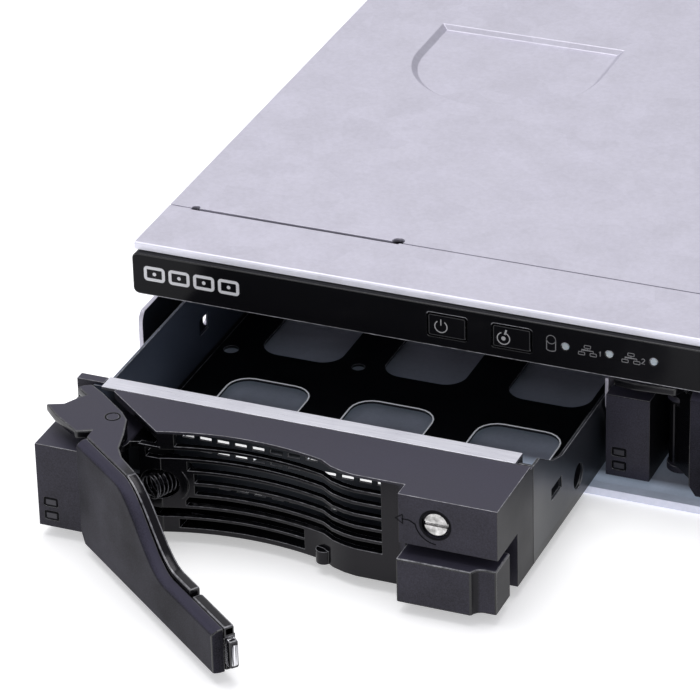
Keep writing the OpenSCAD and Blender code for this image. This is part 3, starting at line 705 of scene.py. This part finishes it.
def network_icon(marks, x, z):
    """Three linked boxes."""
    apart, bar_z, stroke = 1.35, z + 0.05, 0.18
    for dx, dz in ((0, 0.9), (-apart, -0.85), (apart, -0.85)):
        marks.frame((x + dx, z + dz), (1.6, 0.85), 0.25, 0.15)
    left, right = x - apart, x + apart
    marks.line([(x, z + 0.4), (x, bar_z)], stroke)
    marks.line([(left, z - 0.35), (left, bar_z), (right, bar_z), (right, z - 0.35)], stroke)


status = Marks(on_bezel)
drive_icon(status, DRIVE_ICON_X, STATUS_Z)
for x in NETWORK_ICONS_X:
    network_icon(status, x, STATUS_Z)
# The small 1 and 2 beside the network icons
status.line([(111.75, 36.9), (112.05, 37.15), (112.05, 35.95)], DIGIT_STROKE)
status.line(arc((121.9, 36.85), 0.34, 170, -30, 8) + [(121.55, 35.95), (122.3, 35.95)],
            DIGIT_STROKE)
status.piece("status_icons", STATUS_INK, "chassis", "gloss_black")

# ---- Trays: lock marks, pin rings, springs and catches ----

# In millimetres from the tray's origin: the lock's centre, and the lamp lenses' centres
LOCK = (93.4, 21.7)
LENS_X, LENS_Z, LENS_SIZE = 3.1, (8.7, 5.3), (3.1, 2.0)
# The carrier's first row of windows: first centre, spacing, rim size, and middle of the row
WINDOW_X, WINDOW_PITCH, WINDOW_RIM, WINDOW_Y = 24.3, 30.7, (20.5, 37.2), 56.25
PAN_T = 0.7
SPRING_AT = Vector((28.2, 10.5, 14.6))


def coil_spring(i):
    """A round-wire spring with closed ends, where the tray's simple spring is."""
    lean = math.radians(26)
    axis, top = Vector((-math.sin(lean), -math.cos(lean), 0)), Vector((0, 0, 1))
    side = axis.cross(top).normalized()
    start = tray_origin(i) + (SPRING_AT + axis * 0.6) * MM
    wire, radius, turns, length, steps, ground = 0.22, 2.7, 6.6, 6.0, 24, 0.6
    curve = bpy.data.curves.new(f"tray_{i}_spring", "CURVE")
    curve.dimensions = "3D"
    curve.bevel_depth = wire * MM
    curve.bevel_resolution = 3
    curve.use_fill_caps = True
    count = int(turns * steps)
    spline = curve.splines.new("POLY")
    spline.points.add(count)
    for k in range(count + 1):
        turned = k / steps
        # the first and last part turns lie flat, as a ground spring's do
        rise = min(max((turned - ground) / (turns - 2 * ground), 0), 1)
        closing = 0.5 * wire * (min(turned, ground) + max(turned - turns + ground, 0)) / ground
        around = side * math.cos(math.tau * turned) + top * math.sin(math.tau * turned)
        p = start + axis * (length * rise + closing) * MM + around * radius * MM
        spline.points[k].co = (*p, 1)
    curve.materials.append(FINISHES["spring_steel"])
    spring = in_scene(f"tray_{i}_spring", curve)
    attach(spring, f"tray_{i}")
    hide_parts(f"tray_{i}_lever_spring")


def lock_marks(i):
    """The curved arrow beside the lock, the ring round its head, and the lenses' outlines."""
    origin = tray_origin(i)
    marks = Marks(lambda p: origin + Vector((p.x, -p.z, p.y)) * MM)
    x, z = LOCK
    shaft_z, head_x = z + 0.1, x - 7.4
    shaft = arc((x + 0.3, z + 0.2), 4.9, 268, 190, 14)
    marks.line(shaft + [(x - 5.9, shaft_z), (x - 7.6, shaft_z)], 0.28)
    head = [(head_x, z + 1.2), (x - 9.0, shaft_z), (head_x, z - 1.0), (head_x, z + 1.2)]
    marks.line(head, 0.22)
    marks.disc(LOCK, 3.65, 3.1)
    for lens_z in LENS_Z:
        marks.frame((LENS_X, lens_z), LENS_SIZE, 0.45, 0.34)
    marks.piece(f"tray_{i}_lock_mark", DARK_LINE, f"tray_{i}", "charcoal_plastic")


def window_rims(i):
    """A painted highlight on the rims of the carrier's first row of windows."""
    origin = tray_origin(i)
    low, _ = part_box(f"tray_{i}_carrier")
    pan = low.z + PAN_T * MM
    marks = Marks(lambda p: Vector((origin.x, origin.y, pan)) + p * MM)
    for column in range(3):
        marks.frame((WINDOW_X + WINDOW_PITCH * column, WINDOW_Y), WINDOW_RIM, 5.35, 0.32)
    marks.piece(f"tray_{i}_window_rims", WINDOW_GLINT, f"tray_{i}", "dark_steel")


def pin_ring(i):
    """The dark ring where the hinge pin shows in the hook plate."""
    place = lever_place(i)
    _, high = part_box(f"tray_{i}_hook_arm")
    marks = Marks(lambda p: place @ (p * MM) + Vector((0, 0, high.z)))
    marks.disc((0, 0), 1.74, 1.43)
    marks.piece(f"tray_{i}_pin_ring", DARK_LINE, f"lever_{i}", "charcoal_plastic")


def catch_cap(i):
    """The polished catch at a lever's tip: a rounded block whose end draws in."""
    place = lever_place(i)
    name = f"tray_{i}_catch"
    # (along the lever, half the width, lower and upper end), in millimetres
    sections = ((67.3, 1.05, 4.2, 10.8), (68.6, 1.10, 4.15, 10.85),
                (69.4, 1.0, 4.4, 10.5), (69.85, 0.7, 4.9, 9.8))
    centre_y = -7.85
    points, faces = [], []
    for s, half, low, high in sections:
        outline = rounded((centre_y, (low + high) / 2), (2 * half, high - low), 0.45)
        points += [place @ (Vector((s, y, z)) * MM) for y, z in outline]
    n = len(points) // len(sections)
    faces.append(list(range(n))[::-1])
    faces.append(list(range(len(points) - n, len(points))))
    for j in range(len(sections) - 1):
        for k in range(n):
            m = (k + 1) % n
            faces.append([j * n + k, j * n + m, (j + 1) * n + m, (j + 1) * n + k])
    mesh = bpy.data.meshes.new(name)
    mesh.from_pydata(points, [], faces)
    mesh.materials.append(CATCH)
    cap = in_scene(name, mesh)
    shade_evenly(cap)
    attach(cap, f"lever_{i}")


for i in TRAYS:
    coil_spring(i)
    lock_marks(i)
    pin_ring(i)
    window_rims(i)
    catch_cap(i)

# ---- Floor, light and camera ----

FLOOR_REACH = 4.0
floor_mesh = bpy.data.meshes.new("floor")
corners = [(x * FLOOR_REACH, y * FLOOR_REACH, 0) for x, y in ((-1, -1), (1, -1), (1, 1), (-1, 1))]
floor_mesh.from_pydata(corners, [], [(0, 1, 2, 3)])
floor = in_scene("floor", floor_mesh)
floor.location.z = -0.2 * MM
paper = Finish("floor_paper", Emission_Color=(1, 1, 1, 1), Emission_Strength=0.42)
paper_grain = paper.noise(0.02, 3)
paper.colours(paper_grain, (0.3, (0.90, 0.90, 0.90)), (0.7, (0.92, 0.92, 0.92)))
paper.roughness(paper_grain, 0.8, 0.9)
floor_mesh.materials.append(paper.material)

world = bpy.data.worlds.new("studio")
world.use_nodes = True
bpy.context.scene.world = world
sky = world.node_tree.nodes["Background"]
sky.inputs["Color"].default_value = (0.93, 0.93, 1.0, 1)
sky.inputs["Strength"].default_value = 0.45


def softbox(name, place, target, size, power):
    """A square area light that points at a target."""
    light = bpy.data.lights.new(name, "AREA")
    light.size = size
    light.energy = power
    lamp = in_scene(name, light)
    lamp.location = place
    lamp.rotation_mode = "QUATERNION"
    lamp.rotation_quaternion = (Vector(target) - Vector(place)).to_track_quat("-Z", "Y")


softbox("key", (-0.4, -0.1, 1.8), (-0.15, -0.3, 0), 1.4, 20)
softbox("fill", (-0.05, -1.6, 0.35), (-0.1, -0.25, 0), 0.5, 2.6)
softbox("back", (-0.9, 1.4, 1.0), (-0.16, -0.27, 0), 1.5, 3.6)

AZIMUTH, ELEVATION, ROLL = (math.radians(a) for a in (23.12, 28.98, -1.55))
TARGET = Vector((-166.52, -249.5, 26.38)) * MM
DISTANCE = 964.8 * MM
SENSOR, LENS = 36, 222.4
camera = bpy.data.cameras.new("camera")
camera.sensor_width = SENSOR
camera.lens = LENS
eye = in_scene("camera", camera)
back = Vector((math.sin(AZIMUTH) * math.cos(ELEVATION),
               -math.cos(AZIMUTH) * math.cos(ELEVATION),
               math.sin(ELEVATION)))
right = Vector((math.cos(AZIMUTH), math.sin(AZIMUTH), 0))
up = back.cross(right)
rolled_right = right * math.cos(ROLL) + up * math.sin(ROLL)
rolled_up = up * math.cos(ROLL) - right * math.sin(ROLL)
turn = Matrix((rolled_right, rolled_up, back)).transposed().to_4x4()
eye.matrix_world = Matrix.Translation(TARGET + back * DISTANCE) @ turn
bpy.context.scene.camera = eye
bpy.context.scene.view_settings.view_transform = "Standard"
